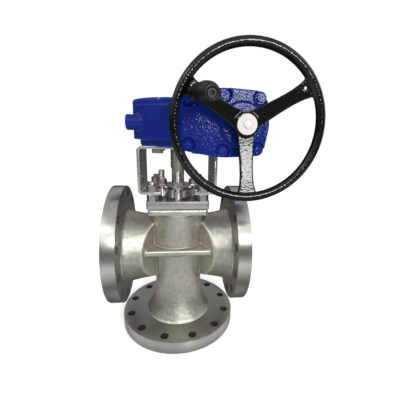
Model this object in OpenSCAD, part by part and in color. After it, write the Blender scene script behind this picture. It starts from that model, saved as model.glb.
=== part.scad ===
// Three-way plug valve with a coaxial bottom port and a worm-gear operator.
// Origin: centre of the bottom flange's sealing face. +X along the run, -Y to the handwheel, +Z up the stem.

/* [Pipe flanges] */
// Outside diameter of the three pipe flanges
flange_od = 381; // [360:1:420]
// Thickness of a pipe flange with its raised face
flange_t = 41.3; // [34:0.1:48]
// Diameter of the raised sealing face
face_od = 270; // [230:1:280]
// Height of the raised sealing face
face_h = 1.6; // [1:0.1:5]
// Bolt circle of the pipe flanges
flange_pcd = 330.2; // [320:0.1:345]
// Bolt holes in each pipe flange
flange_holes = 12; // [8:4:16]
// Diameter of the pipe flange bolt holes
flange_hole_d = 25.4; // [18:0.1:30]
// Bore of the pipe at the flange faces
pipe_bore = 200; // [170:1:210]

/* [Body] */
// Distance between the two side flange faces
face_to_face = 419.1; // [400:0.1:480]
// Height of the run axis over the bottom flange face
run_h = 286; // [276:1:320]
// Radius of the barrel at the run axis
barrel_r = 85; // [82:0.5:95]
// Change of radius for each unit of height on the plug and its barrel
taper = 0.06; // [0.03:0.01:0.08]
// Radius of a side neck beside the barrel
neck_root_r = 100; // [96:1:108]
// Radius of a side neck at its flange
neck_end_r = 122; // [114:1:130]
// Distance that the side necks and ports sit below the run axis
port_drop = 10; // [0:1:14]
// Depth of the bottom neck's waist below the run axis
waist_drop = 130; // [120:1:140]
// Growth in radius of the bottom neck from its waist to its flange
foot_flare = 26; // [15:1:34]
// Fillet where a neck meets its flange
neck_fillet = 9; // [4:0.5:14]
// Half distance between the inner corners of the side pockets
pocket_in_x = 74; // [68:1:78]
// Distance of the pocket's inner corners from the centre plane
pocket_in_y = 40; // [36:1:46]
// Half width of a pocket at the front of its rib
pocket_out_x = 103.5; // [90:0.5:112]
// Distance of the rib's front edge from the centre plane
rib_y = 97; // [90:1:102]
// Thickness of the rib at the run axis
rib_t = 17; // [10:0.5:24]
// Height of the body's top face over the run axis
body_top = 136.5; // [130:0.5:150]
// Least width of the square top flange outside the chamber's mouth
top_rim = 9.4; // [7:0.1:18]
// Thickness of the square top flange
top_t = 19; // [14:0.5:26]
// Corner radius of the square top flange
top_corner = 11; // [4:0.5:18]

/* [Plug] */
// Radius of the plug at the run axis
plug_r = 70; // [66:0.5:72]
// Thickness of the plug's liner
liner_t = 3; // [2:0.5:4]
// Width of the port window
port_w = 62; // [46:1:64]
// Height of the port window
port_h = 150; // [120:1:156]
// Height of the plug's top face over the run axis
plug_top = 95; // [90:1:100]
// Depth of the plug's bottom face below the run axis
plug_foot = 112; // [108:1:116]
// Bore of the plug's bottom opening
plug_bore = 92; // [70:1:100]
// Stem diameter at the packing
stem_d = 40; // [34:0.5:42]
// Stem diameter inside the coupling
spigot_d = 30; // [24:0.5:32]
// Coupling outside diameter
coupling_d = 46; // [42:0.5:50]

/* [Cover and gland] */
// Thickness of the cover gasket
gasket_t = 3; // [1:0.5:5]
// Overhang of the square top cover past the body's top flange
cover_over = 2; // [0:0.5:6]
// Thickness of the square top cover
cover_t = 23.5; // [18:0.5:30]
// Distance of a cover stud from the edges of the top flange
stud_edge = 16; // [12:0.5:20]
// Stud diameter on the cover and the gland
stud_d = 20; // [16:1:22]
// Nut size across flats
nut_af = 30; // [26:0.5:32]
// Nut height
nut_h = 20; // [15:0.5:20]
// Height of the bosses on the cover
boss_h = 23; // [16:0.5:26]
// Distance of the gland studs from the stem axis
gland_r = 52; // [48:0.5:54]
// Thickness of the gland plate
gland_t = 6; // [5:0.5:10]
// Gap between the cover bosses and the gland plate
gland_gap = 9; // [4:0.5:12]

/* [Bracket] */
// Thickness of the bent bracket plate
plate_t = 8; // [6:0.5:10]
// Overall width of the bracket
bracket_w = 230; // [216:1:260]
// Depth of the bracket from front to back
bracket_d = 176; // [172:1:200]
// Height of the bracket from its feet to its top face
bracket_h = 140; // [130:1:170]
// Outer bend radius of the bracket
bend_r = 13; // [10:0.5:20]
// Half width of the gap between the bracket's feet
foot_gap = 50; // [46:0.5:56]

/* [Gearbox] */
// Radius of the gearbox drum
drum_r = 131.5; // [128:0.5:145]
// Height of the drum without its lid
drum_h = 94; // [92:1:110]
// Thickness of the lid
lid_t = 15; // [12:0.5:20]
// Radius of the mounting ring under the drum
ring_r = 113; // [106:0.5:120]
// Height of the mounting ring
ring_h = 17; // [14:0.5:24]
// Wall of the drum
drum_wall = 13; // [11:0.5:16]
// Bolt circle of the gearbox mounting
mount_pcd = 165; // [160:1:172]
// Height of the worm axis over the drum's base
worm_z = 46; // [45:0.5:50]
// Module of the worm gearing
worm_m = 4; // [3.8:0.1:4.2]
// Teeth of the whole worm wheel circle
wheel_teeth = 38; // [36:1:40]
// Pitch radius of the worm
worm_r = 26; // [25:0.5:28]
// Module of the spur gearing
spur_m = 2.5; // [2.2:0.1:2.7]
// Teeth on the spur gear
gear_teeth = 34; // [32:1:36]
// Teeth on the spur pinion
pinion_teeth = 16; // [15:1:17]
// Distance of the input shaft below the worm axis
input_drop = 2.5; // [0:0.5:6]
// Radius of the gear case round the spur gear
case_r = 84; // [80:0.5:88]
// Radius of the gear case round the input shaft
case_end_r = 71; // [66:0.5:75]
// Distance of the case's inner bolts from the worm axis
case_in_x = 76; // [72:0.5:80]
// Half height between the case's inner bolts
case_in_z = 55; // [50:0.5:60]
// Distance of the case's middle bolts from the worm axis
case_mid_x = 14; // [8:0.5:20]
// Half height between the case's middle bolts
case_mid_z = 69; // [64:0.5:72]
// Distance of the case's outer bolts from the worm axis
case_out_x = 107; // [102:0.5:112]
// Half height between the case's outer bolts
case_out_z = 64; // [58:0.5:68]
// Distance of the gear case's front from the stem axis
case_front = 150; // [148:1:160]
// Radius of the boss round the input shaft
case_boss_r = 57; // [50:0.5:60]
// Thickness of the gear case cover
case_cover_t = 15; // [12:0.5:20]
// Radius of the stop screw bosses
stop_boss_r = 21.5; // [17:0.5:25]

/* [Handwheel] */
// Outside diameter of the handwheel
wheel_od = 367; // [340:1:420]
// Diameter of the rim bar
rim_d = 22; // [18:0.5:28]
// Distance of the rim's plane from the stem axis
rim_plane = 232; // [226:1:246]
// Radius of the handwheel hub
hub_r = 31; // [26:0.5:36]
// Length of the handwheel hub
hub_l = 34; // [30:0.5:38]
// Width of a spoke at its waist
spoke_w = 28; // [22:0.5:32]
// Width of a spoke where it leaves the hub
spoke_root_w = 50; // [40:0.5:56]
// Width of a spoke where it runs into the rim
spoke_end_w = 56; // [40:0.5:64]
// Thickness of a spoke
spoke_t = 12; // [9:0.5:15]
// Turn of the spokes at rest
spoke_phase = 1.5; // [-10:0.5:10]
// Distance of the spinner grip from the wheel axis
grip_r = 134; // [128:0.5:140]
// Largest diameter of the spinner grip
grip_d = 50; // [40:0.5:52]
// Length of the spinner grip
grip_l = 82; // [60:1:95]
// Input shaft diameter
input_d = 28; // [24:0.5:30]

/* [Hidden] */
$fn = 96;
eps = 0.01;
// Named clearances
seat_gap = 0.05;
run_gap = 0.06;
free_gap = 0.4;
hole_gap = 1;
chamfer = 1.5;

// Flange places
face_x = face_to_face / 2;
neck_x = face_x - flange_t;
port_z = run_h - port_drop;
hole_turn = 180 / flange_holes;

// Levels up the stem
waist_z = run_h - waist_drop;
top_z = run_h + body_top;
cover_z = top_z + gasket_t;
cover_top = cover_z + cover_t;
foot_z = cover_top + nut_h;
bracket_top = foot_z + bracket_h;
bend_run = 2;
foot_bend = foot_z + bend_r + bend_run;
head_bend = bracket_top - bend_r - bend_run;
drum_z = bracket_top + ring_h;
lid_z = drum_z + drum_h;
lid_top = lid_z + lid_t;
boss_top = cover_top + boss_h;
gland_z = boss_top + gland_gap;
gland_stud_proud = 24;
stud_tip = gland_z + gland_t + nut_h + gland_stud_proud;
shoulder_rise = 8;
shoulder_z = stud_tip + shoulder_rise;
worm_axis_z = drum_z + worm_z;

// Plug and chamber
liner_r = plug_r + free_gap;
chamber_r = liner_r + liner_t + seat_gap;
plug_floor = run_h - plug_foot;
plug_lid = run_h + plug_top;
stem_r = stem_d / 2;
packing_w = 10;
box_r = stem_r + packing_w;
box_lift = 6;
box_floor = cover_z + box_lift;
box_foot = 16;
box_head = 8;
nose_l = 12;
thrust_t = 2.5;
spigot_drop = 14;
spigot_top = bracket_top - spigot_drop;
coupling_drop = 8;
coupling_top = lid_z - coupling_drop;
key_w = 8;
key_l = 40;
key_lift = 6;
neck_l = waist_z - flange_t;
bore_end = plug_floor - hole_gap;
bore_knee = 0.75 * pipe_bore / 2;
knee_z = 1.5 * flange_t;
knee_in_r = pipe_bore / 2 + (bore_knee - pipe_bore / 2) * flange_t / knee_z;
port_wall = 26;
port_start = chamber_r + port_wall;
rib_drop = 1.5;
port_end_r = 0.8 * pipe_bore / 2;
neck_cut = barrel_r + taper * body_top;

// Top flange and cover
mouth_r = chamber_r + taper * body_top;
top_w = 2 * (mouth_r + top_rim);
cover_w = top_w + 2 * cover_over;
stud_pitch = top_w / 2 - stud_edge;
gasket_inset = 3;
stud_proud = 9;

// Gears
wheel_r = worm_m * wheel_teeth / 2;
worm_x = wheel_r + worm_r;
gear_r = spur_m * gear_teeth / 2;
pinion_r = spur_m * pinion_teeth / 2;
gear_span = gear_r + pinion_r;
mesh_turn = -asin(input_drop / gear_span);
input_x = worm_x + gear_span * cos(mesh_turn);
input_z = worm_axis_z - input_drop;
lead = PI * worm_m;
lead_turn = atan(lead / (2 * PI * worm_r));
worm_l = 56;
collar_t = 4;
tooth_up = 0.85;
tooth_down = 1.15;
thread_out = worm_r + tooth_up * worm_m;
thread_in = worm_r - 1.1 * worm_m;
wheel_w = 32;
wheel_tip = wheel_r + tooth_up * worm_m;
sweep_gap = 2;
rim_out = wheel_r + 2.5 * worm_m;
hub_out = 35;
hub_seat = 5;
hub_pass = 6;
bush_t = 5;
sector_from = -115;
sector_to = 25;
shaft_d = 30;
bearing_d = 62;
bearing_w = 16;
bearing_y = 72;
tunnel_wall = 10;
tunnel_r = bearing_d / 2 + tunnel_wall;
cavity_r = drum_r - drum_wall;
floor_t = 12;
case_back = 108;
case_wall = 20;
gear_w = 18;
gear_y = 124;
cap_t = 12;
cap_lip = 16;
cap_y = bearing_y + bearing_w + cap_lip;
cap_pitch = bearing_d / 2 + tunnel_wall / 2;
lid_edge = 4;
lid_screw_d = 7;
lid_head_d = 1.7 * lid_screw_d;
lid_screws_n = 7;
lid_screw_step = 45;
lid_screw_r = drum_r - drum_wall / 2;
screw_grip = 17;
input_bearing_d = 52;
input_bearing_w = 14;
stop_y = 72;
stop_tip = rim_out * abs(cos(sector_from)) + free_gap;
stop_d = 20;
stop_proud = 10;
stop_end = drum_r + stop_proud;

// Gear case outline: bolt columns and the half heights of their bolts
case_columns = [[worm_x - case_in_x, case_in_z], [worm_x + case_mid_x, case_mid_z],
  [worm_x + case_out_x, case_out_z]];
case_lobe = 17;
case_bolt_d = 12;
case_bolt_grip = 20;
spot_depth = 7;
spot_r = case_lobe + hole_gap;
cover_front = case_front + case_cover_t;
boss_proud = 8;
boss_front = cover_front + boss_proud;
gear_room = 4;

// Handwheel
rim_c = (wheel_od - rim_d) / 2;
hub_stand = 5;
hub_back = boss_front + hub_stand;
hub_front = hub_back + hub_l;
spoke_root = hub_back + hub_l / 2;
dish = atan((rim_plane - spoke_root) / rim_c);
washer_t = 5;
washer_inset = 7;
hub_draft = 2;
hub_screw_d = 10;
hub_screw_l = 20;
hub_screw_head = 3;
spoke_turn = 30;
grip_turn = spoke_turn + 120;
grip_pin_d = 12;
grip_base_d = 0.8 * grip_d;
grip_tip_d = 0.64 * grip_d;
pin_head_d = 1.5 * grip_pin_d;
head_sink = grip_pin_d;
hang_hole_d = 8;
spoke_pad = 8;

// Shared shapes

// Square with round corners, drawn flat
module round_square(w, d, r) {
  square([w - 2 * r, d], center = true);
  square([w, d - 2 * r], center = true);
  for (x = [-1, 1], y = [-1, 1])
    translate([x * (w / 2 - r), y * (d / 2 - r)]) circle(r);
}

// Puts a shape on the four corners of a square pattern
module on_square(half) {
  for (x = [-1, 1], y = [-1, 1]) translate([x * half, y * half, 0]) children();
}

// Puts a shape at equal turns round the stem
module around(count, r, from = 0) {
  for (i = [0 : count - 1]) rotate(from + i * 360 / count) translate([r, 0, 0]) children();
}

// Turns a shape drawn upwards to face the handwheel side, at a place across the gearbox
module facing_front(x, z) {
  translate([x, 0, z]) rotate([90, 0, 0]) children();
}

// Hexagon nut with a chamfered top and a hole
module hex_nut(af, h, hole) {
  difference() {
    intersection() {
      cylinder(h = h, d = af / cos(30), $fn = 6);
      cylinder(h = h, r1 = af / 2 * 1.15 + h * 0.6, r2 = af / 2 * 0.97 + chamfer * 0.5);
    }
    translate([0, 0, -eps]) cylinder(h = h + 2 * eps, d = hole);
  }
}

// Bar with chamfered ends
module stud(d, l) {
  rotate_extrude() polygon([[0, 0], [d / 2 - chamfer, 0], [d / 2, chamfer], [d / 2, l - chamfer],
    [d / 2 - chamfer, l], [0, l]]);
}

// Hexagon bolt with its head below the origin plane
module hex_bolt(d, af, head, l) {
  translate([0, 0, -head]) cylinder(h = head, d = af / cos(30), $fn = 6);
  cylinder(h = l, d = d);
}

// Ring about the vertical axis
module ring(r_in, r_out, h) {
  difference() {
    cylinder(h = h, r = r_out);
    translate([0, 0, -eps]) cylinder(h = h + 2 * eps, r = r_in);
  }
}

// Port window, an upright slot, seen along its passage
module port_slot(w, h) {
  square([w, h - w], center = true);
  for (s = [-1, 1]) translate([0, s * (h - w) / 2]) circle(d = w);
}

// Passage along +X from the stem axis with the port window's section
module side_passage(l) {
  translate([0, 0, port_z]) rotate([90, 0, 90]) linear_extrude(l) port_slot(port_w, port_h);
}

// Cone of the plug family: grows with height at the common taper
module taper_cone(r_run, z_low, z_high) {
  translate([0, 0, z_low])
    cylinder(h = z_high - z_low, r1 = r_run + taper * (z_low - run_h), r2 = r_run + taper * (z_high - run_h));
}

// Pipe flange standing on its raised face
module pipe_flange() {
  cylinder(h = face_h + eps, d = face_od);
  translate([0, 0, face_h]) rotate_extrude()
    polygon([[0, 0], [flange_od / 2 - chamfer, 0], [flange_od / 2, chamfer],
      [flange_od / 2, flange_t - face_h - chamfer], [flange_od / 2 - chamfer, flange_t - face_h],
      [0, flange_t - face_h]]);
}

module flange_drilling() {
  around(flange_holes, flange_pcd / 2, hole_turn)
    translate([0, 0, -eps]) cylinder(h = flange_t + 2 * eps, d = flange_hole_d);
}

// Turns a shape standing on z = 0 to lie along the run with its base on a side flange face
module on_side(s) {
  translate([s * face_x, 0, run_h]) rotate([0, -s * 90, 0]) children();
}

// Radius of a side neck at a distance from the stem axis
function neck_radius(x) = neck_root_r + (neck_end_r - neck_root_r) * pow(x / neck_x, 2.4);

// Quarter-round points that lead a neck out on to its flange
function fillet_points(r, z) = [for (a = [0 : 15 : 90])
  [r + neck_fillet * (1 - cos(a)), z + neck_fillet * sin(a)]];

// Body casting

// Turned shape of a side neck between two distances from the stem axis
module neck_turning(from, to, tail) {
  steps = 6;
  side = [for (i = [0 : steps]) let(x = from + (to - from) * i / steps) [neck_radius(x), x]];
  translate([0, 0, port_z]) rotate([0, 90, 0]) rotate_extrude()
    polygon(concat([[0, from]], side, tail, [[0, tail[len(tail) - 1][1]]]));
}

module side_pockets() {
  run_out = (pocket_out_x - pocket_in_x) / (rib_y - pocket_in_y);
  far_y = flange_od / 2;
  far_x = pocket_in_x + run_out * (far_y - pocket_in_y);
  for (s = [0, 180]) rotate(s) translate([0, 0, flange_t + hole_gap]) linear_extrude(top_z)
    polygon([[-pocket_in_x, -pocket_in_y], [pocket_in_x, -pocket_in_y], [far_x, -far_y], [-far_x, -far_y]]);
}

module side_ribs() {
  for (s = [0, 180]) rotate(s) translate([0, 0, run_h - rib_t / 2 - rib_drop]) linear_extrude(rib_t)
    polygon([[-pocket_out_x, -rib_y], [pocket_out_x, -rib_y], [pocket_in_x, -pocket_in_y], [0, 0],
      [-pocket_in_x, -pocket_in_y]]);
}

// Turned shape of the bottom neck, from the barrel's waist down to its flange
module bottom_turning() {
  steps = 8;
  waist_r = barrel_r - taper * waist_drop;
  reach = neck_l - neck_fillet;
  side = [for (i = [0 : steps]) let(t = i / steps) [waist_r + foot_flare * t * t, reach * t]];
  translate([0, 0, waist_z]) mirror([0, 0, 1]) rotate_extrude()
    polygon(concat([[0, 0]], side, fillet_points(waist_r + foot_flare, reach), [[0, neck_l]]));
}

module top_flange() {
  translate([0, 0, top_z - top_t]) linear_extrude(top_t) round_square(top_w, top_w, top_corner);
}

// Side passage: the port window, then a smooth change to a round bore at the flange
module side_bore() {
  side_passage(port_start + eps);
  hull() {
    translate([port_start, 0, port_z]) rotate([90, 0, 90]) linear_extrude(eps) port_slot(port_w, port_h);
    translate([neck_x, 0, run_h]) rotate([0, 90, 0]) cylinder(h = eps, r = port_end_r);
  }
}

module bottom_bore() {
  translate([0, 0, flange_t - eps]) cylinder(h = knee_z - flange_t + 2 * eps, r1 = knee_in_r, r2 = bore_knee);
  translate([0, 0, knee_z]) cylinder(h = bore_end - knee_z + eps, r1 = bore_knee, d2 = plug_bore);
}

module body_casting() {
  color("silver") difference() {
    union() {
      difference() {
        for (s = [0, 180]) rotate(s) neck_turning(0, neck_cut, [[neck_radius(neck_cut), neck_cut]]);
        side_pockets();
      }
      side_ribs();
      taper_cone(barrel_r, waist_z, top_z - top_t + eps);
      top_flange();
    }
    taper_cone(chamber_r, bore_end, top_z + eps);
    for (s = [0, 180]) rotate(s) side_bore();
    bottom_bore();
    on_square(stud_pitch) translate([0, 0, top_z - top_t - eps])
      cylinder(h = top_t + 2 * eps, d = stud_d + 2 * seat_gap);
  }
}

// Side neck from beside the barrel to its flange
module side_neck() {
  reach = neck_x - neck_fillet;
  color("silver") difference() {
    neck_turning(neck_cut, reach, fillet_points(neck_radius(reach), reach));
    side_pockets();
    side_bore();
  }
}

module neck_left() {
  rotate(180) side_neck();
}

module neck_right() {
  side_neck();
}

// Bottom neck, which carries the barrel on its flange
module neck_bottom() {
  color("silver") difference() {
    bottom_turning();
    bottom_bore();
  }
}

// Pipe flange with its bolt holes and a bore that narrows to the neck behind it
module drilled_flange(back_r) {
  color("silver") difference() {
    pipe_flange();
    translate([0, 0, -eps]) cylinder(h = flange_t + 2 * eps, d1 = pipe_bore, r2 = back_r);
    flange_drilling();
  }
}

module flange_bottom() {
  drilled_flange(knee_in_r);
}

module flange_left() {
  on_side(-1) drilled_flange(port_end_r);
}

module flange_right() {
  on_side(1) drilled_flange(port_end_r);
}

// Pieces in the chamber

module plug_liner() {
  color("ivory") difference() {
    taper_cone(liner_r + liner_t, plug_floor, plug_lid);
    taper_cone(liner_r, plug_floor - hole_gap, plug_lid + hole_gap);
    for (s = [0, 180]) rotate(s) side_passage(barrel_r);
  }
}

module plug() {
  color("gainsboro") difference() {
    union() {
      taper_cone(plug_r, plug_floor, plug_lid);
      translate([0, 0, plug_lid - eps]) cylinder(h = shoulder_z - plug_lid + eps, r = stem_r);
      translate([0, 0, shoulder_z - eps]) cylinder(h = spigot_top - shoulder_z + eps, d = spigot_d);
    }
    translate([0, 0, bore_end]) cylinder(h = plug_foot - port_drop + port_h / 4, d = plug_bore);
    side_passage(barrel_r);
    rotate(90) side_passage(barrel_r);
    translate([-key_w / 2, -spigot_d / 2 - key_w / 2, shoulder_z + key_lift - seat_gap])
      cube([key_w, key_w, key_l + 2 * seat_gap]);
  }
}

// Parallel key on the front of a shaft about the stem axis
module stem_side_key(d, z) {
  color("dimgray") translate([-key_w / 2 + seat_gap, -d / 2 - key_w / 2 + seat_gap, z])
    cube([key_w - 2 * seat_gap, key_w - 2 * seat_gap, key_l]);
}

module stem_key() {
  stem_side_key(spigot_d, shoulder_z + key_lift);
}

module hub_key() {
  stem_side_key(coupling_d, worm_axis_z - key_l / 2);
}

module stem_coupling() {
  color("silver") difference() {
    translate([0, 0, shoulder_z]) cylinder(h = coupling_top - shoulder_z, d = coupling_d);
    translate([0, 0, shoulder_z - eps])
      cylinder(h = spigot_top - shoulder_z + 2 * hole_gap, d = spigot_d + 2 * seat_gap);
    translate([-key_w / 2, -spigot_d / 2 - key_w / 2, shoulder_z - eps])
      cube([key_w, spigot_d / 2, key_lift + key_l + 2 * hole_gap]);
    translate([-key_w / 2, -coupling_d / 2 - key_w / 2, worm_axis_z - key_l / 2 - seat_gap])
      cube([key_w, key_w, key_l + 2 * seat_gap]);
  }
}

// Cover, packing and gland

module cover_gasket() {
  gasket_w = top_w - 2 * gasket_inset;
  color("black") translate([0, 0, top_z]) linear_extrude(gasket_t) difference() {
    round_square(gasket_w, gasket_w, top_corner);
    circle(r = mouth_r);
    on_square(stud_pitch) circle(d = stud_d + hole_gap);
  }
}

module top_cover() {
  spigot_out = chamber_r + taper * plug_top - hole_gap;
  color("silver") difference() {
    union() {
      translate([0, 0, cover_z]) linear_extrude(cover_t) round_square(cover_w, cover_w, top_corner * 0.6);
      translate([0, 0, plug_lid + thrust_t])
        cylinder(h = cover_z - plug_lid - thrust_t + eps, r = spigot_out);
      translate([0, 0, cover_top - eps])
        cylinder(h = boss_h + eps, r1 = box_r + box_foot, r2 = box_r + box_head);
      around(4, gland_r) translate([0, 0, cover_top - eps]) cylinder(h = boss_h + eps, d = nut_af - hole_gap);
    }
    translate([0, 0, plug_lid]) cylinder(h = boss_top, r = stem_r + free_gap);
    translate([0, 0, box_floor]) cylinder(h = boss_top, r = box_r);
    on_square(stud_pitch) translate([0, 0, cover_z - eps]) cylinder(h = cover_t * 2, d = stud_d + hole_gap);
    around(4, gland_r) translate([0, 0, cover_top - stud_d / 2])
      cylinder(h = boss_h * 2, d = stud_d + 2 * seat_gap);
  }
}

module thrust_washer() {
  color("ivory") translate([0, 0, plug_lid + free_gap])
    ring(stem_r + free_gap, box_r + packing_w, thrust_t - free_gap);
}

module stem_packing() {
  color("dimgray") translate([0, 0, box_floor])
    ring(stem_r + run_gap, box_r - seat_gap, boss_top - box_floor - nose_l);
}

module gland_follower() {
  color("silver") difference() {
    union() {
      translate([0, 0, boss_top - nose_l]) cylinder(h = gland_gap + nose_l + eps, r = box_r - seat_gap);
      translate([0, 0, gland_z]) linear_extrude(gland_t) {
        circle(r = gland_r - nut_af * 0.25);
        for (a = [0, 90]) rotate(a) square([2 * gland_r, nut_af * 1.35], center = true);
        around(4, gland_r) circle(d = nut_af * 1.35);
      }
    }
    translate([0, 0, cover_top]) cylinder(h = gland_z, r = stem_r + free_gap);
    around(4, gland_r) translate([0, 0, gland_z - eps]) cylinder(h = gland_t * 2, d = stud_d + hole_gap);
  }
}

module cover_studs() {
  stud_l = foot_z + plate_t + nut_h + stud_proud - top_z + top_t;
  color("gainsboro") on_square(stud_pitch) translate([0, 0, top_z - top_t]) stud(stud_d, stud_l);
}

module cover_nuts() {
  color("gainsboro") on_square(stud_pitch) translate([0, 0, cover_top])
    hex_nut(nut_af, nut_h, stud_d + 2 * seat_gap);
}

module bracket_nuts() {
  color("gainsboro") on_square(stud_pitch) translate([0, 0, foot_z + plate_t])
    hex_nut(nut_af, nut_h, stud_d + 2 * seat_gap);
}

module gland_studs() {
  color("gainsboro") around(4, gland_r) translate([0, 0, cover_top - stud_d / 2])
    stud(stud_d, stud_tip - cover_top + stud_d / 2);
}

module gland_nuts() {
  color("gainsboro") around(4, gland_r) translate([0, 0, gland_z + gland_t])
    hex_nut(nut_af, nut_h * 0.8, stud_d + 2 * seat_gap);
}

// Bracket

// Bent plate that carries the gearbox, with all its holes
module bent_plate() {
  inner_r = bend_r - plate_t;
  difference() {
    translate([0, bracket_d / 2, foot_z + bracket_h / 2]) rotate([90, 0, 0]) linear_extrude(bracket_d)
      difference() {
        round_square(bracket_w, bracket_h, bend_r);
        round_square(bracket_w - 2 * plate_t, bracket_h - 2 * plate_t, inner_r);
        translate([0, -bracket_h / 2]) square([2 * foot_gap, 3 * plate_t], center = true);
      }
    on_square(stud_pitch) translate([0, 0, foot_z - eps]) cylinder(h = plate_t * 2, d = stud_d + hole_gap);
    for (s = [-1, 1]) translate([s * gland_r, 0, foot_z - eps]) cylinder(h = plate_t * 2, d = nut_af * 1.5);
    translate([0, 0, bracket_top - plate_t * 2]) cylinder(h = plate_t * 3, r = hub_out + hub_pass);
    around(4, mount_pcd / 2, 45) translate([0, 0, bracket_top - plate_t * 2])
      cylinder(h = plate_t * 3, d = stud_d + hole_gap);
  }
}

// Length of the bent plate between two heights: both sides of the stem, or one
module bracket_length(low, high, side = 0) {
  w = side == 0 ? 2 * bracket_w : bracket_w;
  color("lightgray") intersection() {
    bent_plate();
    translate([side * bracket_w / 2, 0, (low + high) / 2])
      cube([w, 2 * bracket_d, high - low], center = true);
  }
}

module bracket_head() { bracket_length(head_bend, bracket_top + plate_t); }

module bracket_leg_left() { bracket_length(foot_bend, head_bend, -1); }

module bracket_leg_right() { bracket_length(foot_bend, head_bend, 1); }

module bracket_foot_left() { bracket_length(foot_z - plate_t, foot_bend, -1); }

module bracket_foot_right() { bracket_length(foot_z - plate_t, foot_bend, 1); }

module gearbox_bolts() {
  color("gray") around(4, mount_pcd / 2, 45) translate([0, 0, bracket_top - plate_t])
    hex_bolt(stud_d, nut_af, nut_h * 0.65, plate_t + ring_h);
}

// Gearbox

// Outline of the gear case, in the plane that faces the handwheel
module case_outline(grow = 0) {
  hull() {
    for (c = case_columns, s = [-1, 1]) translate([c[0], s * c[1]]) circle(case_lobe + grow, $fn = 40);
    translate([worm_x, 0]) circle(case_r + grow, $fn = 96);
    translate([input_x, -input_drop]) circle(case_end_r + grow, $fn = 96);
  }
}

// Room for the two spur gears inside the case
module case_room() {
  translate([worm_x, 0]) circle(gear_r + spur_m + gear_room);
  translate([input_x, -input_drop]) circle(pinion_r + spur_m + gear_room);
}

module case_bolt_places() {
  for (c = case_columns, s = [-1, 1]) translate([c[0], s * c[1], 0]) children();
}

module stop_places() {
  for (s = [-1, 1]) translate([-stop_end, s * stop_y, worm_axis_z]) rotate([0, 90, 0]) children();
}

module gearbox_housing() {
  color("mediumblue") difference() {
    union() {
      difference() {
        union() {
          translate([0, 0, drum_z]) cylinder(h = drum_h, r = drum_r);
          stop_places() cylinder(h = stop_end - stop_y, r = stop_boss_r);
        }
        translate([0, 0, drum_z + floor_t]) cylinder(h = drum_h, r = cavity_r);
      }
      translate([0, 0, bracket_top]) cylinder(h = ring_h + eps, r = ring_r);
      worm_tunnel();
      facing_front(0, worm_axis_z) translate([0, 0, case_back - case_wall])
        linear_extrude(case_front - case_back + case_wall) case_outline();
    }
    wheel_room();
    translate([0, 0, bracket_top - eps])
      cylinder(h = ring_h + floor_t + 2 * eps, r = hub_out + bush_t + seat_gap);
    facing_front(worm_x, worm_axis_z) translate([0, 0, -cap_y - eps])
      cylinder(h = cap_y + case_front, d = bearing_d + 2 * seat_gap);
    facing_front(0, worm_axis_z) translate([0, 0, case_back]) linear_extrude(case_front) case_room();
    facing_front(input_x, input_z) translate([0, 0, case_back - input_bearing_w])
      cylinder(h = case_front, d = input_bearing_d + 2 * seat_gap);
    facing_front(0, worm_axis_z) case_bolt_places() translate([0, 0, case_front - case_bolt_grip])
      cylinder(h = case_front, d = case_bolt_d + 2 * seat_gap);
    around(4, mount_pcd / 2, 45) translate([0, 0, bracket_top - eps])
      cylinder(h = ring_h + 2 * eps, d = stud_d + 2 * seat_gap);
    lid_screw_places() translate([0, 0, lid_z - screw_grip - hole_gap])
      cylinder(h = drum_h, d = lid_screw_d + 2 * seat_gap);
    cap_screw_places() translate([0, 0, -eps]) cylinder(h = screw_grip, d = lid_screw_d + 2 * seat_gap);
    facing_front(worm_x, worm_axis_z) translate([0, 0, -cap_y - drum_r])
      cylinder(h = drum_r, r = tunnel_r + free_gap);
    stop_places() translate([0, 0, -eps]) cylinder(h = drum_r, d = stop_d + 2 * seat_gap);
  }
}

// Round tunnel that carries the worm's bearings, with a flat wall up against the drum
module worm_tunnel() {
  facing_front(worm_x, worm_axis_z) translate([0, 0, -cap_y]) {
    cylinder(h = cap_y + case_back - case_wall + eps, r = tunnel_r);
    translate([-tunnel_r, -worm_z, 0]) cube([tunnel_r, drum_h, cap_y + case_back - case_wall]);
  }
}

// Room swept by the wheel sector, and the window where it meets the worm
module wheel_room() {
  translate([0, 0, worm_axis_z - wheel_w / 2 - sweep_gap])
    cylinder(h = wheel_w + 2 * sweep_gap, r = rim_out + sweep_gap);
  translate([0, 0, drum_z + floor_t]) cylinder(h = drum_h, r = hub_out + bush_t + seat_gap);
}

module lid_screw_places() {
  for (i = [0 : lid_screws_n - 1]) rotate(-lid_screw_step / 2 + i * lid_screw_step)
    translate([lid_screw_r, 0, 0]) children();
}

module cap_screw_places() {
  facing_front(worm_x, worm_axis_z) around(4, cap_pitch, 45) translate([0, 0, -cap_y]) children();
}

module gearbox_lid() {
  color("mediumblue") difference() {
    translate([0, 0, lid_z]) rotate_extrude()
      polygon([[0, 0], [drum_r, 0], [drum_r, lid_t - lid_edge], [drum_r - lid_edge, lid_t], [0, lid_t]]);
    translate([0, 0, lid_z - eps]) cylinder(h = lid_t * 2, r = hub_out + bush_t + seat_gap);
    facing_front(0, worm_axis_z) translate([0, 0, case_back - case_wall - free_gap])
      linear_extrude(case_front) case_outline(free_gap);
    lid_screw_places() {
      translate([0, 0, lid_z - eps]) cylinder(h = lid_t * 2, d = lid_screw_d + 2 * seat_gap);
      translate([0, 0, lid_top - lid_screw_d]) cylinder(h = lid_t, d = lid_head_d);
    }
  }
}

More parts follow.
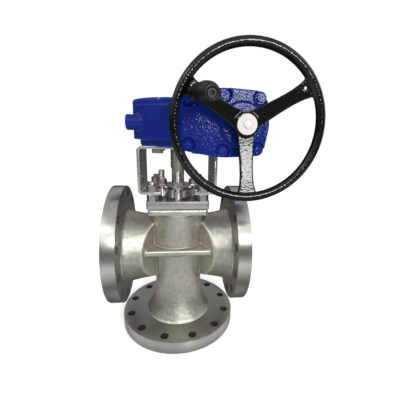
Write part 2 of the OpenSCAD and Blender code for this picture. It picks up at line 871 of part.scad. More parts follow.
module lid_screws() {
  color("dimgray") lid_screw_places() {
    translate([0, 0, lid_z - screw_grip])
      cylinder(h = lid_t + screw_grip - lid_screw_d + eps, d = lid_screw_d);
    translate([0, 0, lid_top - lid_screw_d]) difference() {
      cylinder(h = lid_screw_d - free_gap, d = lid_head_d - 2 * free_gap);
      translate([0, 0, lid_screw_d / 2]) cylinder(h = lid_screw_d, d = lid_screw_d * 0.85, $fn = 6);
    }
  }
}

module lower_bush() {
  color("peru") translate([0, 0, bracket_top])
    ring(hub_out + run_gap, hub_out + bush_t, ring_h + floor_t);
}

module upper_bush() {
  color("peru") translate([0, 0, lid_z]) ring(hub_out + run_gap, hub_out + bush_t, lid_t);
}

// Ball bearing drawn as its two rings joined by the cage
module bearing(d_in, d_out, w) {
  groove = w / 5;
  difference() {
    ring(d_in / 2 + run_gap, d_out / 2, w);
    for (z = [-eps, w - groove / 2]) translate([0, 0, z])
      ring(d_in / 2 + (d_out - d_in) / 6, d_out / 2 - (d_out - d_in) / 6, groove / 2 + eps);
  }
}

module worm_bearings() {
  color("lightsteelblue") facing_front(worm_x, worm_axis_z)
    for (z = [-bearing_y - bearing_w, bearing_y]) translate([0, 0, z]) bearing(shaft_d, bearing_d, bearing_w);
}

module input_bearings() {
  color("lightsteelblue") facing_front(input_x, input_z)
    for (z = [case_back - input_bearing_w, case_front]) translate([0, 0, z])
      bearing(input_d, input_bearing_d, input_bearing_w);
}

module worm_end_cap() {
  lip_w = 8;
  color("mediumblue") difference() {
    facing_front(worm_x, worm_axis_z) union() {
      translate([0, 0, -cap_y - cap_t]) cylinder(h = cap_t, r = tunnel_r);
      translate([0, 0, -cap_y - eps]) ring(bearing_d / 2 - lip_w, bearing_d / 2 - seat_gap, cap_lip);
    }
    cap_screw_places() translate([0, 0, -cap_t - eps])
      cylinder(h = cap_t + 2 * eps, d = lid_screw_d + 2 * seat_gap);
  }
}

module end_cap_screws() {
  color("mediumblue") cap_screw_places() translate([0, 0, -cap_t])
    hex_bolt(lid_screw_d, 1.6 * lid_screw_d, 0.7 * lid_screw_d, cap_t + screw_grip - hole_gap);
}

module gear_case_cover() {
  color("mediumblue") difference() {
    facing_front(0, worm_axis_z) union() {
      translate([0, 0, case_front]) linear_extrude(case_cover_t) case_outline();
      translate([input_x, -input_drop, cover_front - eps])
        cylinder(h = boss_front - cover_front + eps, r1 = case_boss_r, r2 = case_boss_r - 2 * chamfer);
    }
    facing_front(input_x, input_z) {
      translate([0, 0, case_front - eps])
        cylinder(h = input_bearing_w + seat_gap, d = input_bearing_d + 2 * seat_gap);
      translate([0, 0, case_front]) cylinder(h = case_front, d = input_d + 2 * free_gap);
    }
    facing_front(0, worm_axis_z) case_bolt_places() {
      translate([0, 0, case_front - eps]) cylinder(h = case_front, d = case_bolt_d + hole_gap);
      translate([0, 0, cover_front - spot_depth]) cylinder(h = case_front, r = spot_r);
    }
  }
}

module case_cover_bolts() {
  grip = case_cover_t - spot_depth + case_bolt_grip - hole_gap;
  color("mediumblue") facing_front(0, worm_axis_z) case_bolt_places()
    translate([0, 0, cover_front - spot_depth]) rotate([180, 0, 0])
      hex_bolt(case_bolt_d, 1.5 * case_bolt_d, 0.65 * case_bolt_d, grip);
}

module stop_screws() {
  recess = 4;
  color("dimgray") stop_places() difference() {
    translate([0, 0, recess]) cylinder(h = stop_end - stop_tip - recess, d = stop_d);
    cylinder(h = stop_d / 2, d = stop_d / 2, $fn = 6);
  }
}

// Gears and shafts

// Outline of a spur gear with straight-sided teeth and running clearance
tooth_form = [[-0.27, -tooth_down], [-0.1, tooth_up], [0.1, tooth_up], [0.27, -tooth_down]];
function spur_points(teeth, m) = [for (i = [0 : teeth - 1], p = tooth_form)
  let(a = (i + p[0]) * 360 / teeth, r = m * teeth / 2 + p[1] * m) [r * cos(a), r * sin(a)]];

module worm_wheel() {
  wedge = 2 * wheel_r;
  gap_root = wheel_r - tooth_down * worm_m;
  gap_out = 5 * worm_m;
  pitch = PI * worm_m;
  color("goldenrod") difference() {
    union() {
      translate([0, 0, bracket_top + hub_seat])
        cylinder(h = lid_top - bracket_top - hub_seat - sweep_gap, r = hub_out);
      intersection() {
        translate([0, 0, worm_axis_z]) rotate_extrude() difference() {
          translate([0, -wheel_w / 2]) square([rim_out, wheel_w]);
          translate([worm_x, 0]) circle(worm_x - wheel_tip);
        }
        translate([0, 0, drum_z]) linear_extrude(drum_h) polygon(concat([[0, 0]],
          [for (a = [sector_from : 20 : sector_to]) wedge * [cos(a), sin(a)]]));
      }
    }
    for (i = [ceil(sector_from * wheel_teeth / 360) : floor(sector_to * wheel_teeth / 360)])
      translate([0, 0, worm_axis_z]) rotate(i * 360 / wheel_teeth) translate([gap_root, 0, 0])
        rotate([-lead_turn, 0, 0]) linear_extrude(2 * wheel_w, center = true)
          polygon([[0, -0.2 * pitch], [gap_out, -0.62 * pitch], [gap_out, 0.62 * pitch], [0, 0.2 * pitch]]);
    translate([0, 0, bracket_top]) cylinder(h = lid_top, d = coupling_d + 2 * seat_gap);
    translate([-key_w / 2, -coupling_d / 2 - key_w / 2, bracket_top]) cube([key_w, coupling_d / 2, lid_top]);
  }
}

// Dial on the wheel's hub, with a pointer that shows where the plug stands
module position_indicator() {
  dial_t = 5;
  dial_r = hub_out + 2 * bush_t;
  pointer_w = 8;
  pointer_t = 3;
  plug_in = 2;
  color("gold") translate([0, 0, lid_top]) {
    translate([0, 0, free_gap]) cylinder(h = dial_t, r1 = dial_r, r2 = dial_r - 2 * chamfer);
    translate([0, -pointer_w / 2, dial_t]) cube([dial_r - 2 * chamfer, pointer_w, pointer_t]);
    translate([0, 0, -plug_in]) cylinder(h = plug_in + hole_gap, r = hub_out - bush_t);
  }
}

module worm() {
  crest = 38;
  flank = 50;
  thread_points = 20;
  thread_section = [for (i = [0 : thread_points - 1])
    let(a = 360 * i / thread_points, b = a > 180 ? 360 - a : a, t = max(0, min(1, (b - crest) / flank)),
      r = thread_out + (thread_in - thread_out) * t) [r * cos(a), r * sin(a)]];
  turns = worm_l / lead;
  color("slategray") facing_front(worm_x, worm_axis_z) difference() {
    rotate(180 - 180 * turns)
      linear_extrude(worm_l, center = true, twist = -360 * turns, slices = ceil(13 * turns),
        segments = thread_points) polygon(thread_section);
    translate([0, 0, -worm_l]) cylinder(h = 2 * worm_l, d = shaft_d + 2 * seat_gap);
  }
}

module worm_shaft() {
  color("slategray") facing_front(worm_x, worm_axis_z) {
    translate([0, 0, -bearing_y - bearing_w])
      cylinder(h = bearing_y + bearing_w + gear_y + gear_w, d = shaft_d);
    for (s = [-1, 1]) translate([0, 0, s * (worm_l / 2 + bearing_y) / 2])
      cylinder(h = bearing_y - worm_l / 2 - free_gap, d = shaft_d + 2 * collar_t, center = true);
  }
}

module spur_gear() {
  color("slategray") facing_front(worm_x, worm_axis_z) difference() {
    translate([0, 0, gear_y]) rotate(180 / gear_teeth + mesh_turn) linear_extrude(gear_w)
      polygon(spur_points(gear_teeth, spur_m));
    translate([0, 0, gear_y - eps]) cylinder(h = gear_w * 2, d = shaft_d + 2 * seat_gap);
  }
}

module spur_pinion() {
  color("slategray") facing_front(input_x, input_z) difference() {
    translate([0, 0, gear_y]) rotate(180 + mesh_turn) linear_extrude(gear_w)
      polygon(spur_points(pinion_teeth, spur_m));
    translate([0, 0, gear_y - eps]) cylinder(h = gear_w * 2, d = input_d + 2 * seat_gap);
  }
}

module input_shaft() {
  shaft_back = case_back - input_bearing_w;
  color("silver") facing_front(input_x, input_z) difference() {
    translate([0, 0, shaft_back]) cylinder(h = hub_front - shaft_back, d = input_d);
    translate([0, 0, hub_front - hub_screw_l - 2 * hole_gap]) cylinder(h = hub_l, d = hub_screw_d);
    translate([-key_w / 2, input_d / 2 - key_w / 2, hub_back]) cube([key_w, key_w, 2 * hub_l]);
  }
}

// Handwheel

// Places a shape drawn along +X of a dished spoke, with its middle plane through the hub and the rim
module on_spoke(a) {
  rotate(a) translate([0, 0, spoke_root]) rotate([0, -dish, 0]) children();
}

// Half width of a spoke along its length, as a share t from the hub to the rim
function spoke_half(t) = spoke_w / 2 + (spoke_root_w - spoke_w) / 2 * pow(1 - t, 2)
  + (spoke_end_w - spoke_w) / 2 * pow(t, 7);

module spoke() {
  reach = rim_c / cos(dish);
  steps = 12;
  side = [for (i = [0 : steps]) let(t = i / steps) [reach * t, spoke_half(t)]];
  back = [for (i = [steps : -1 : 0]) [side[i][0], -side[i][1]]];
  translate([0, 0, -spoke_t / 2]) linear_extrude(spoke_t) polygon(concat(side, back));
}

module handwheel() {
  color("black") facing_front(input_x, input_z) difference() {
    union() {
      translate([0, 0, rim_plane]) rotate_extrude() translate([rim_c, 0]) circle(d = rim_d);
      for (i = [0 : 2]) on_spoke(spoke_turn + spoke_phase + 120 * i) spoke();
      translate([0, 0, hub_back]) cylinder(h = hub_l, r1 = hub_r, r2 = hub_r - hub_draft);
      on_spoke(grip_turn + spoke_phase) translate([grip_r, 0, 0])
        cylinder(h = spoke_t / 2 + spoke_pad, d1 = grip_d, d2 = grip_base_d);
    }
    translate([0, 0, hub_back - hub_l]) cylinder(h = hub_l, r = 2 * hub_r);
    translate([0, 0, hub_front]) cylinder(h = hub_l, r = hub_r);
    translate([0, 0, hub_back - eps]) cylinder(h = 2 * hub_l, d = input_d + 2 * seat_gap);
    translate([-key_w / 2, 0, hub_back - eps]) cube([key_w, input_d / 2 + key_w / 2, hub_l * 2]);
    on_spoke(grip_turn + spoke_phase) translate([grip_r, 0, -spoke_t])
      cylinder(h = 3 * spoke_t, d = grip_pin_d + 2 * seat_gap);
    on_spoke(spoke_turn + spoke_phase) translate([rim_c - 2 * hang_hole_d, hang_hole_d / 2, -spoke_t])
      cylinder(h = 2 * spoke_t, d = hang_hole_d);
  }
}

module handwheel_key() {
  color("dimgray") facing_front(input_x, input_z)
    translate([-key_w / 2 + seat_gap, input_d / 2 - key_w / 2 + seat_gap, hub_back])
      cube([key_w - 2 * seat_gap, key_w - 2 * seat_gap, hub_l - hole_gap]);
}

module hub_washer() {
  color("white") facing_front(input_x, input_z) translate([0, 0, hub_front])
    ring(hub_screw_d / 2 + seat_gap, hub_r - washer_inset, washer_t);
}

module hub_screw() {
  color("silver") facing_front(input_x, input_z) {
    translate([0, 0, hub_front - hub_screw_l])
      cylinder(h = hub_screw_l + washer_t + eps, d = hub_screw_d - 2 * seat_gap);
    translate([0, 0, hub_front + washer_t]) cylinder(h = hub_screw_head, d = 1.6 * hub_screw_d);
  }
}

// Pieces of the spinner grip, on the spoke that carries it
module on_grip() {
  facing_front(input_x, input_z) on_spoke(grip_turn + spoke_phase)
    translate([grip_r, 0, spoke_t / 2 + spoke_pad]) children();
}

module grip_pin() {
  head_h = head_sink - 2 * free_gap;
  color("dimgray") on_grip() {
    translate([0, 0, -spoke_t - spoke_pad])
      cylinder(h = spoke_t + spoke_pad + grip_l - head_sink, d = grip_pin_d);
    translate([0, 0, grip_l - head_sink]) difference() {
      cylinder(h = head_h, d = pin_head_d);
      translate([0, 0, head_h / 2]) cylinder(h = head_h, d = 0.95 * grip_pin_d, $fn = 6);
    }
  }
}

module spinner_grip() {
  color("black") on_grip() difference() {
    translate([0, 0, free_gap]) rotate_extrude() polygon([[0, 0], [grip_base_d / 2 - chamfer, 0],
      [grip_base_d / 2, chamfer], [grip_d * 0.46, grip_l * 0.2], [grip_d / 2, grip_l * 0.45],
      [grip_d * 0.46, grip_l * 0.75], [grip_tip_d / 2 + chamfer, grip_l - 2 * chamfer],
      [grip_tip_d / 2, grip_l], [0, grip_l]]);
    translate([0, 0, -eps]) cylinder(h = grip_l, d = grip_pin_d + 2 * run_gap);
    translate([0, 0, grip_l - head_sink - free_gap]) cylinder(h = grip_l, d = pin_head_d + 4 * free_gap);
  }
}

body_casting();
neck_left();
neck_right();
neck_bottom();
flange_left();
flange_right();
flange_bottom();
plug_liner();
cover_gasket();
top_cover();
cover_studs();
cover_nuts();
thrust_washer();
stem_packing();
gland_follower();
gland_studs();
gland_nuts();
bracket_head();
bracket_leg_left();
bracket_leg_right();
bracket_foot_left();
bracket_foot_right();
bracket_nuts();
gearbox_bolts();
gearbox_housing();
gearbox_lid();
lid_screws();
lower_bush();
upper_bush();
worm_bearings();
input_bearings();
worm_end_cap();
end_cap_screws();
gear_case_cover();
case_cover_bolts();
stop_screws();
plug();
stem_coupling();
stem_key();
hub_key();
worm_wheel();
position_indicator();
worm_shaft();
worm();
spur_gear();
input_shaft();
spur_pinion();
handwheel();
handwheel_key();
hub_washer();
hub_screw();
grip_pin();
spinner_grip();
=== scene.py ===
"""Dress for a three-way plug valve and its gear operator, laid out as a Blender add-on."""
import math

import bmesh
import bpy
from bpy.props import FloatProperty, FloatVectorProperty, IntProperty, PointerProperty
from mathutils import Matrix, Vector


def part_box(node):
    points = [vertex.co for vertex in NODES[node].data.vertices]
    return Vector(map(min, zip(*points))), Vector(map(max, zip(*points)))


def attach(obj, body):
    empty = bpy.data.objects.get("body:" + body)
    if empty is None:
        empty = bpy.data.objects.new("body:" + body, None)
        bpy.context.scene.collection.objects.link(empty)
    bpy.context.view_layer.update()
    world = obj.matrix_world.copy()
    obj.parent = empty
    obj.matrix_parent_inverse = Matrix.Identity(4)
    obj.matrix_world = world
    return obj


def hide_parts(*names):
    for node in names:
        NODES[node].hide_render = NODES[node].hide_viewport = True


bl_info = {
    "name": "Three-Way Plug Valve",
    "version": (1, 0, 0),
    "blender": (4, 5, 0),
    "location": "View3D > Sidebar > Valve",
    "description": "Castings, fasteners and finishes for a plug valve with a gear operator",
    "category": "Object",
}

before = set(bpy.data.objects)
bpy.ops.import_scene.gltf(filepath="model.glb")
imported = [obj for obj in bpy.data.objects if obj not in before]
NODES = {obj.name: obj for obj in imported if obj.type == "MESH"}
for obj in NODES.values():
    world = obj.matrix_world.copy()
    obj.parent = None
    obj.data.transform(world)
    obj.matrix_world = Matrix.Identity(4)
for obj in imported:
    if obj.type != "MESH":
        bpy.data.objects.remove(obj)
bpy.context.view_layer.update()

# Lengths in metres
SAME_POINT = 1e-6    # CAD corners nearer than this are one point
SAME_SEAM = 1e-5     # the same where the bracket's lengths meet
RIM_ROUND = 0.0016   # rounding of a flange's rim
FACE_ROUND = 0.0005  # rounding of the raised face
BACK_RING = 0.148    # radius of the ring that divides a flange's back
ROOT_GAP = 0.0005    # gap between a neck's root and the flange's bore
ROOT_LAP = 0.0004    # height by which the root stands in the neck
COVER_EDGE = 0.0012  # bevels of the cover, the gland and the bracket's plate
GLAND_EDGE = 0.0008
PLATE_EDGE = 0.0008
FLOOR_REACH = 6.0    # from the middle of the floor to its edge

# Steps round a circle, counts and shares
RIM_STEPS = 144
ROOT_STEPS = 96
HOLE_STEPS = 40
STUD_STEPS = 20
STEPS_PER_PITCH = 4.0
STUD_COUNT = 4
THREAD_SHARE = 0.3  # depth of a thread as a share of its pitch
ROUND_DIP = 0.3     # share of the rim's rounding by which its middle point stands back
SOFTENING = 0.5     # share by which each round of smoothing moves a point

# Angles in degrees
FLAT = 0.5          # faces that meet flatter than this are one face
MACHINED_SHARP = 40
FLANGE_SHARP = 38
STUD_SHARP = 50

# Finishes over castings, plate and paint: the colour that each starts from, a factor on it, and its surface.
# grain and lumps are noise scales, share and pits their weights, strength and depth the bump, vary the change of
# tone, edge the brightness of proud edges, partly wear and partly painted highlight, reach how far these and the
# painted crease shade spread, gloss the specular level.
FLANGE_SKIN = dict(metallic=1.0, rough=0.42, grain=700.0, lumps=90.0, share=0.4, strength=0.3, depth=0.0006, vary=0.2)
SURFACES = {
    "cast_steel": ("cast_steel", 1.0, dict(
        metallic=1.0, rough=0.34, grain=520.0, lumps=70.0, share=1.4, strength=0.6, depth=0.0014, vary=0.2,
        edge=1.5, reach=0.04)),
    "flange_back": ("flange_back", 1.2, FLANGE_SKIN),
    # The bottom flange's back faces up and is a lighter copy of the flange back: painted light.
    "flange_top": ("flange_back", 1.45, FLANGE_SKIN),
    # Bolt hole walls are a darker copy of the flange back: painted shade.
    "hole_wall": ("flange_back", 0.5, {**FLANGE_SKIN, "rough": 0.6}),
    "plate_steel": ("plate_steel", 1.0, dict(
        metallic=1.0, rough=0.28, grain=900.0, lumps=120.0, share=0.4, strength=0.1, depth=0.0004, vary=0.08,
        edge=1.4, reach=0.08)),
    "machined_steel": ("turned_steel", 0.8, dict(
        metallic=1.0, rough=0.34, grain=800.0, lumps=90.0, share=0.5, strength=0.2, depth=0.0005,
        edge=1.5, reach=0.08)),
    "blue_enamel": ("blue_enamel", 1.0, dict(
        metallic=0.0, rough=0.17, grain=400.0, lumps=210.0, share=1.6, strength=0.7, depth=0.0007, vary=0.25,
        edge=1.6, gloss=0.24, pits=0.05)),
    "black_enamel": ("black_enamel", 1.0, dict(
        metallic=0.0, rough=0.11, grain=400.0, lumps=190.0, share=1.5, strength=0.6, depth=0.0005, vary=0.2,
        edge=1.3, gloss=0.36, pits=0.05)),
    "grip_black": ("grip_black", 1.0, dict(
        metallic=0.0, rough=0.3, grain=900.0, lumps=160.0, share=0.4, strength=0.15, depth=0.0004, vary=0.15,
        edge=1.2, gloss=0.22, pits=0.1)),
    "black_oxide": ("black_oxide", 1.0, dict(
        metallic=0.3, rough=0.34, grain=900.0, lumps=160.0, share=0.4, strength=0.12, depth=0.0003, vary=0.15,
        edge=2.0)),
    "silver_washer": ("silver_washer", 1.0, dict(
        metallic=0.1, rough=0.5, grain=900.0, lumps=120.0, share=0.4, strength=0.12, depth=0.0003, vary=0.06,
        edge=1.2, gloss=0.25)),
    "oxide_steel": ("oxide_steel", 1.0, dict(
        metallic=1.0, rough=0.36, grain=900.0, lumps=150.0, share=0.3, strength=0.12, depth=0.0004, vary=0.15,
        edge=1.6)),
    "cast_bronze": ("bronze", 1.0, dict(
        metallic=1.0, rough=0.36, grain=800.0, lumps=120.0, share=0.4, strength=0.15, depth=0.0004)),
    "liner_white": ("liner_white", 1.0, dict(
        metallic=0.0, rough=0.45, grain=900.0, lumps=120.0, share=0.3, strength=0.08, depth=0.0003, vary=0.04)),
    "gasket_dark": ("gasket_dark", 1.0, dict(
        metallic=0.0, rough=0.7, grain=1200.0, lumps=200.0, share=0.4, strength=0.3, depth=0.0004, vary=0.25)),
    "yellow_enamel": ("yellow_enamel", 1.0, dict(
        metallic=0.0, rough=0.42, grain=700.0, lumps=120.0, share=0.4, strength=0.1, depth=0.0004, vary=0.06)),
}
# Creases are darkened to this share of each tone as painted shade.
PAINTED_CREASE_SHADE = 0.45  # brightness left in creases
TURNED_VARY = 0.1   # change of tone over turned metal
TOOL_LINES = {"strength": 0.12, "distance": 0.0003}  # bump of tool lines
BRUSHED = {"Anisotropic": 0.85, "Anisotropic Rotation": 0.25}  # highlights across tool lines

# Brightness of the room in reflections, by height from straight down at -1 to straight up at 1
ROOM = ((-1.0, 0.35), (-0.88, 0.12), (-0.62, 0.65), (-0.42, 0.95), (-0.24, 0.3), (0.05, 0.12), (0.25, 0.4),
        (0.42, 1.1), (0.72, 1.3), (0.86, 0.25), (1.0, 0.12))
BEHIND_FROM, BEHIND_TONE = 0.7, 0.35  # the room behind the valve falls to this share
DIFFUSE_TONE = 0.78  # brightness of the room for diffuse light
FLOOR_GLOW = 0.25    # light that the floor adds for the camera alone

# Lamps: name, place, aim, width, height, watts
LAMPS = (
    ("key", (-1.5, -1.3, 1.7), (0.0, 0.0, 0.4), 1.6, 1.6, 4.0),
    ("spark", (-1.0, -1.7, 2.0), (0.1, 0.0, 0.6), 0.3, 0.3, 2.5),
    ("window", (0.585, -1.85, 1.075), (0.167, -0.23, 0.57), 0.42, 0.42, 14.0),
    ("side", (1.8, 0.1, 0.9), (0.0, 0.0, 0.3), 0.9, 1.2, 4.0),
    ("top", (0.0, -0.3, 2.3), (0.0, 0.0, 0.4), 1.6, 1.6, 4.0),
)

# Camera, as fitted to the photo: place, then degrees to the right, down and about the view
VIEW_PLACE = (0.00242, -0.85619, 0.64728)
VIEW_TURN = (6.5, 14.26, 1.39)
VIEW_LENS = {"sensor_width": 36.0, "lens": 23.92, "shift_x": -0.0203, "shift_y": 0.002, "clip_start": 0.01}


def length(label, words, default):
    return FloatProperty(name=label, description=words, default=default, unit="LENGTH", precision=4)


def colour(label, words, default):
    return FloatVectorProperty(name=label, description=words, default=default, size=3, subtype="COLOR",
                               min=0.0, max=1.0)


class ValveSizes(bpy.types.PropertyGroup):
    """Sizes of the pieces made here, in metres"""
    flange_radius: length("Flange radius", "Outside radius of a pipe flange", 0.1905)
    flange_depth: length("Flange depth", "Thickness of a pipe flange with its raised face", 0.0413)
    face_radius: length("Face radius", "Radius of the raised sealing face", 0.135)
    face_height: length("Face height", "Height of the raised sealing face", 0.0016)
    bore_radius: length("Bore radius", "Bore at the sealing face", 0.1)
    side_bore: length("Side bore", "Bore at the back of a side flange", 0.08)
    bottom_bore: length("Bottom bore", "Bore at the back of the bottom flange", 0.08333)
    side_neck: length("Side neck", "Radius where a side neck runs out on its flange", 0.1283)
    bottom_neck: length("Bottom neck", "Radius where the bottom neck runs out on its flange", 0.112)
    neck_root: length("Neck root", "Depth to which a neck is sunk in its flange", 0.006)
    bolt_circle: length("Bolt circle", "Radius of the flange's bolt circle", 0.1651)
    bolt_hole: length("Bolt hole", "Radius of a flange bolt hole", 0.0127)
    bolt_count: IntProperty(name="Bolt holes", description="Holes in a pipe flange", default=12, min=4)
    face_to_face: length("Face to face", "Distance between the side flange faces", 0.4191)
    run_height: length("Run height", "Height of the run axis", 0.286)
    stud_radius: length("Stud radius", "Radius of the cover and gland studs", 0.01)
    thread_pitch: length("Thread pitch", "Pitch of the stud threads", 0.0025)
    casting_grid: length("Casting grid", "Grid on which the body's skin is rebuilt", 0.0033)
    gearbox_grid: length("Gearbox grid", "Grid on which the gearbox's skin is rebuilt", 0.0024)
    wheel_grid: length("Handwheel grid", "Grid on which the handwheel's skin is rebuilt", 0.0017)
    grip_grid: length("Grip grid", "Grid on which the spinner grip's skin is rebuilt", 0.0009)


class ValveColours(bpy.types.PropertyGroup):
    """Base colours of the finishes"""
    cast_steel: colour("Cast steel", "Blasted stainless casting", (0.60, 0.575, 0.51))
    turned_steel: colour("Turned steel", "Machined stainless faces", (0.60, 0.585, 0.55))
    flange_back: colour("Flange back", "Rough machined back of a flange", (0.32, 0.31, 0.285))
    bolt_steel: colour("Bolt steel", "Studs and nuts", (0.60, 0.58, 0.54))
    plate_steel: colour("Plate steel", "Bent bracket plate", (0.66, 0.66, 0.64))
    blue_enamel: colour("Blue enamel", "Gearbox paint", (0.0024, 0.0135, 0.175))
    black_enamel: colour("Black enamel", "Handwheel paint", (0.002, 0.002, 0.0022))
    grip_black: colour("Grip black", "Moulded spinner grip", (0.007, 0.007, 0.0072))
    black_oxide: colour("Black oxide", "Pin of the spinner grip", (0.02, 0.02, 0.021))
    silver_washer: colour("Silver washer", "Washer on the handwheel's hub", (0.53, 0.52, 0.48))
    oxide_steel: colour("Oxide steel", "Screws, keys, shafts and gears", (0.22, 0.22, 0.225))
    bronze: colour("Bronze", "Worm wheel and bushes", (0.55, 0.34, 0.13))
    liner_white: colour("Liner white", "Plug liner and thrust washer", (0.82, 0.81, 0.77))
    gasket_dark: colour("Gasket dark", "Cover gasket and packing", (0.035, 0.034, 0.033))
    yellow_enamel: colour("Yellow enamel", "Position indicator", (0.74, 0.5, 0.03))


# Mesh helpers

def link_object(name, data):
    obj = bpy.data.objects.new(name, data)
    bpy.context.scene.collection.objects.link(obj)
    return obj


def mesh_from(name, bm):
    """Plain mesh of an edit mesh, which is freed."""
    mesh = bpy.data.meshes.new(name)
    bm.to_mesh(mesh)
    bm.free()
    return mesh


def merged_copy(node):
    """Mesh copy of a CAD node with its loose triangles joined."""
    bm = bmesh.new()
    bm.from_mesh(NODES[node].data)
    bmesh.ops.remove_doubles(bm, verts=bm.verts, dist=SAME_POINT)
    return mesh_from(node + "_copy", bm)


def take_in(bm, mesh):
    """Adds a mesh to an edit mesh and removes it."""
    bm.from_mesh(mesh)
    bpy.data.meshes.remove(mesh)


def joined(nodes):
    """Edit mesh of several CAD nodes together."""
    bm = bmesh.new()
    for node in nodes:
        take_in(bm, merged_copy(node))
    return bm


def settle(obj):
    """Applies an object's modifiers to its mesh and shades it smooth."""
    bpy.context.view_layer.update()
    graph = bpy.context.evaluated_depsgraph_get()
    done = bpy.data.meshes.new_from_object(obj.evaluated_get(graph))
    obj.modifiers.clear()
    old = obj.data
    obj.data = done
    bpy.data.meshes.remove(old)
    done.polygons.foreach_set("use_smooth", [True] * len(done.polygons))
    return obj


def lathe(name, profile, steps):
    """Mesh turned about Z from (radius, height) points; the profile is closed."""
    bm = bmesh.new()
    rings = []
    for i in range(steps):
        a = 2 * math.pi * i / steps
        rings.append([bm.verts.new((r * math.cos(a), r * math.sin(a), z)) for r, z in profile])
    count = len(profile)
    for i in range(steps):
        here, there = rings[i], rings[(i + 1) % steps]
        for j in range(count):
            k = (j + 1) % count
            bm.faces.new((here[j], there[j], there[k], here[k]))
    bmesh.ops.recalc_face_normals(bm, faces=bm.faces)
    return mesh_from(name, bm)


def finish_piece(obj, material, body, slot, *nodes):
    """Gives a piece its finish, its body and the CAD nodes that it stands for."""
    obj.data.materials.clear()
    obj.data.materials.append(material)
    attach(obj, body)
    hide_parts(*nodes)


def cast_skin(name, mesh, grid, rounds):
    """Rebuilds a solid's skin on a fine grid and softens its edges, as a casting's are."""
    obj = link_object(name, mesh)
    skin = obj.modifiers.new("skin", "REMESH")
    skin.mode = "VOXEL"
    skin.voxel_size = grid
    soft = obj.modifiers.new("soft", "SMOOTH")
    soft.factor = SOFTENING
    soft.iterations = rounds
    return settle(obj)


def bevelled(name, mesh, width, angle=35.0):
    """Rounds the sharp edges of a machined or bent piece."""
    bm = bmesh.new()
    bm.from_mesh(mesh)
    bmesh.ops.dissolve_limit(bm, angle_limit=math.radians(FLAT), verts=bm.verts, edges=bm.edges)
    bm.to_mesh(mesh)
    bm.free()
    obj = link_object(name, mesh)
    edge = obj.modifiers.new("edge", "BEVEL")
    edge.width = width
    edge.segments = 2
    edge.limit_method = "ANGLE"
    edge.angle_limit = math.radians(angle)
    settle(obj)
    obj.data.set_sharp_from_angle(angle=math.radians(MACHINED_SHARP))
    return obj


# Node helpers

def fill(tree, made, values):
    """Sets a node's inputs to plain values, or links them to other nodes' outputs."""
    for key, value in values.items():
        if isinstance(value, bpy.types.NodeSocket):
            tree.links.new(value, made.inputs[key])
        else:
            made.inputs[key].default_value = value
    return made


def put(tree, kind, **values):
    return fill(tree, tree.nodes.new(kind), values)


def put_group(tree, group, **values):
    made = tree.nodes.new("ShaderNodeGroup")
    made.node_tree = group
    return fill(tree, made, values).outputs


def math_node(tree, operation, a, b):
    made = tree.nodes.new("ShaderNodeMath")
    made.operation = operation
    return fill(tree, made, {0: a, 1: b}).outputs[0]


def map_range(tree, value, from_min, from_max, to_min, to_max):
    return put(tree, "ShaderNodeMapRange", **{
        "Value": value, "From Min": from_min, "From Max": from_max, "To Min": to_min, "To Max": to_max,
    }).outputs["Result"]


def choose(tree, switch, low, high):
    """Value that is low where the switch is 0 and high where it is 1."""
    return fill(tree, tree.nodes.new("ShaderNodeMix"), {0: switch, 2: low, 3: high}).outputs[0]


# Shader helpers

def sheet(name):
    """New material with its node tree and shader."""
    material = bpy.data.materials.new(name)
    material.use_nodes = True
    tree = material.node_tree
    return material, tree, tree.nodes["Principled BSDF"]


def new_group(name, inputs, *outputs):
    """Shader group with inputs by label and default, and plain values put out."""
    group = bpy.data.node_groups.new(name, "ShaderNodeTree")
    for label, default in inputs.items():
        kind = "NodeSocketVector" if isinstance(default, tuple) else "NodeSocketFloat"
        group.interface.new_socket(label, in_out="INPUT", socket_type=kind).default_value = default
    for label in outputs:
        group.interface.new_socket(label, in_out="OUTPUT", socket_type="NodeSocketFloat")
    return group, group.nodes.new("NodeGroupInput").outputs, group.nodes.new("NodeGroupOutput")


def object_coords(tree):
    return tree.nodes.new("ShaderNodeTexCoord").outputs["Object"]


def noise(tree, coords, scale, detail=3.0, roughness=0.55):
    return put(tree, "ShaderNodeTexNoise", Vector=coords, Scale=scale, Detail=detail,
               Roughness=roughness).outputs["Fac"]


def spread(tree, fac, low, high):
    """Value that runs from low to high over the middle of a noise."""
    return map_range(tree, fac, 0.3, 0.7, low, high)


def cast_grain_group():
    """Grain of a sand casting: pits and lumps as a height, slow clouds and mottle as a tone."""
    group, given, out = new_group(
        "cast_grain", {"Grain": 600.0, "Lumps": 70.0, "Grain share": 1.0, "Lump share": 0.6}, "Height", "Tone")
    coords = object_coords(group)
    pits = math_node(group, "MULTIPLY", noise(group, coords, given["Grain"]), given["Grain share"])
    lumps = math_node(group, "MULTIPLY", noise(group, coords, given["Lumps"], 1.0), given["Lump share"])
    clouds = math_node(group, "MULTIPLY", noise(group, coords, 9.0, 3.0, 0.62), 0.5)
    mottle = math_node(group, "MULTIPLY", noise(group, coords, 95.0, 3.0, 0.6), 0.5)
    fill(group, out, {"Height": math_node(group, "ADD", pits, lumps),
                      "Tone": math_node(group, "ADD", clouds, mottle)})
    return group


def edge_wear_highlight_crease_shade_group():
    """Masks of proud edges, brightened as wear and painted highlight, and of creases, darkened as painted shade."""
    group, given, out = new_group("edge_wear", {"Reach": 0.05}, "Edge", "Crease")
    bend = group.nodes.new("ShaderNodeNewGeometry").outputs["Pointiness"]
    share = math_node(group, "DIVIDE", math_node(group, "SUBTRACT", bend, 0.5), given["Reach"])
    broken = spread(group, noise(group, object_coords(group), 160.0, 4.0), 0.45, 1.0)
    for label, way in (("Edge", 1.0), ("Crease", -1.0)):
        above = math_node(group, "MAXIMUM", math_node(group, "MULTIPLY", share, way), 0.0)
        mask = math_node(group, "MINIMUM", above, 1.0)
        fill(group, out, {label: math_node(group, "MULTIPLY", mask, broken)})
    return group


